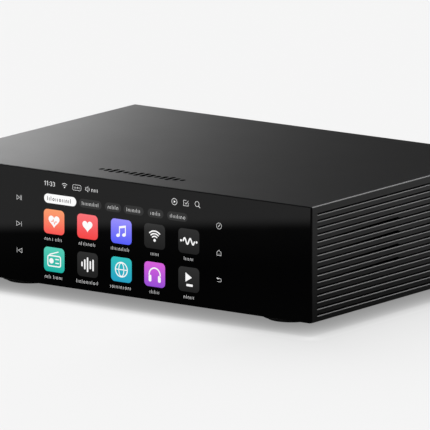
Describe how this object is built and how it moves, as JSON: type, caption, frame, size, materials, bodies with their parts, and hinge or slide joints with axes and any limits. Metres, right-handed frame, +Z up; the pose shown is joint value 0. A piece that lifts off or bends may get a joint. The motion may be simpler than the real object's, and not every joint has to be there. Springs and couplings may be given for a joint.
{
  "type": "desktop dac",
  "caption": "Low black desktop DAC and streamer with a full-width glass touch display front, grooved and vented sides, round feet and a rear socket panel.",
  "frame": {"origin": "centre of the footprint with the antennas folded, on the table under the feet", "axes": "+X to the right seen from the front, +Y to the rear, +Z up"},
  "size_m": [0.3, 0.2426, 0.0836],
  "materials": {
    "case_black_anodised": "fine bead-blasted, black anodised, satin",
    "chassis_black_paint": "fine-texture black powder coat",
    "cover_glass_black": "back-printed gloss black cover glass",
    "adhesive_grey": "soft adhesive foam",
    "frame_black_plastic": "glass-filled black moulding",
    "display_dark": "dark display cell",
    "pcb_green": "green solder mask",
    "parts_black": "black moulded packages",
    "ribbon_amber": "amber polyimide",
    "feet_black_anodised": "turned, black anodised",
    "pad_rubber": "soft black rubber",
    "screw_black": "black zinc",
    "steel_bright": "zinc plated",
    "heatsink_black": "black anodised fins",
    "capacitor_sleeve": "dark blue sleeve",
    "winding_wrap": "yellow polyester tape over copper",
    "wire_insulation": "soft wire insulation",
    "coax_black": "thin coaxial sheath",
    "inlet_black": "black thermoplastic",
    "rocker_black": "semi-gloss black",
    "pins_nickel": "nickel plated",
    "fuse_glass": "glass tube, plated caps",
    "rca_gold": "gold plated",
    "rca_insert": "coloured insulator",
    "xlr_black": "black die-cast shell",
    "socket_black": "black moulding",
    "antenna_black": "fine-texture black elastomer"
  },
  "bodies": {
    "case": {"top_cover": "case_black_anodised", "rear_panel": "case_black_anodised", "bottom_plate": "chassis_black_paint", "ssd_cover": "chassis_black_paint", "front_glass": "cover_glass_black", "glass_adhesive": "adhesive_grey", "front_frame": "frame_black_plastic", "display_module": "display_dark", "touch_board_left": "pcb_green", "touch_board_right": "pcb_green", "main_board": "pcb_green", "dac_board": "pcb_green", "psu_board": "pcb_green", "ssd_module": "pcb_green", "main_board_parts": "parts_black", "dac_board_parts": "parts_black", "psu_board_parts": "parts_black", "display_ribbon": "ribbon_amber", "feet": "feet_black_anodised", "foot_pads": "pad_rubber", "transformer_pads": "pad_rubber", "foot_screws": "screw_black", "bottom_screws": "screw_black", "rear_screws": "screw_black", "frame_screws": "screw_black", "ssd_cover_screws": "screw_black", "board_standoffs": "steel_bright", "board_screws": "steel_bright", "transformer_washer": "steel_bright", "transformer_bolt": "steel_bright", "processor_heatsink": "heatsink_black", "psu_capacitors": "capacitor_sleeve", "transformer": "winding_wrap", "transformer_leads": "wire_insulation", "mains_wires": "wire_insulation", "power_harness": "wire_insulation", "antenna_leads": "coax_black", "mains_inlet": "inlet_black", "mains_pins": "pins_nickel", "hdmi_socket": "pins_nickel", "usb_a_socket": "pins_nickel", "lan_socket": "pins_nickel", "usb_b_socket": "pins_nickel", "rca_shells": "rca_gold", "antenna_sockets": "rca_gold", "antenna_nuts": "rca_gold", "xlr_pins": "rca_gold", "rca_inserts": "rca_insert", "xlr_sockets": "xlr_black", "optical_sockets": "socket_black", "trigger_jack": "socket_black"},
    "power_rocker": {"power_rocker": "rocker_black"},
    "fuse_drawer": {"fuse_drawer": "inlet_black", "fuse": "fuse_glass"},
    "optical_flap_in": {"optical_flap_in": "socket_black"},
    "optical_flap_out": {"optical_flap_out": "socket_black"},
    "antenna_left_base": {"antenna_left_base": "antenna_black"},
    "antenna_left_blade": {"antenna_left_blade": "antenna_black"},
    "antenna_right_base": {"antenna_right_base": "antenna_black"},
    "antenna_right_blade": {"antenna_right_blade": "antenna_black"}
  },
  "joints": [
    {"name": "power_rocker_tip", "type": "hinge", "parent": "case", "child": "power_rocker", "pos_m": [-0.107, 0.0946, 0.0541], "axis": [1, 0, 0], "range_deg": [0, 16]},
    {"name": "fuse_drawer_slide", "type": "slide", "parent": "case", "child": "fuse_drawer", "axis": [0, 1, 0], "range_m": [0, 0.022]},
    {"name": "optical_flap_in_swing", "type": "hinge", "parent": "case", "child": "optical_flap_in", "pos_m": [0.018, 0.0965, 0.0273], "axis": [-1, 0, 0], "range_deg": [0, 80]},
    {"name": "optical_flap_out_swing", "type": "hinge", "parent": "case", "child": "optical_flap_out", "pos_m": [0.005, 0.0965, 0.0273], "axis": [-1, 0, 0], "range_deg": [0, 80]},
    {"name": "antenna_left_swivel", "type": "hinge", "parent": "case", "child": "antenna_left_base", "pos_m": [-0.132, 0.1027, 0.0701], "axis": [0, 1, 0], "continuous": true},
    {"name": "antenna_left_tilt", "type": "hinge", "parent": "antenna_left_base", "child": "antenna_left_blade", "pos_m": [-0.132, 0.1167, 0.0701], "axis": [0, 0, 1], "range_deg": [0, 90]},
    {"name": "antenna_right_swivel", "type": "hinge", "parent": "case", "child": "antenna_right_base", "pos_m": [0.132, 0.1027, 0.0701], "axis": [0, 1, 0], "continuous": true},
    {"name": "antenna_right_tilt", "type": "hinge", "parent": "antenna_right_base", "child": "antenna_right_blade", "pos_m": [0.132, 0.1167, 0.0701], "axis": [0, 0, -1], "range_deg": [0, 90]}
  ]
}
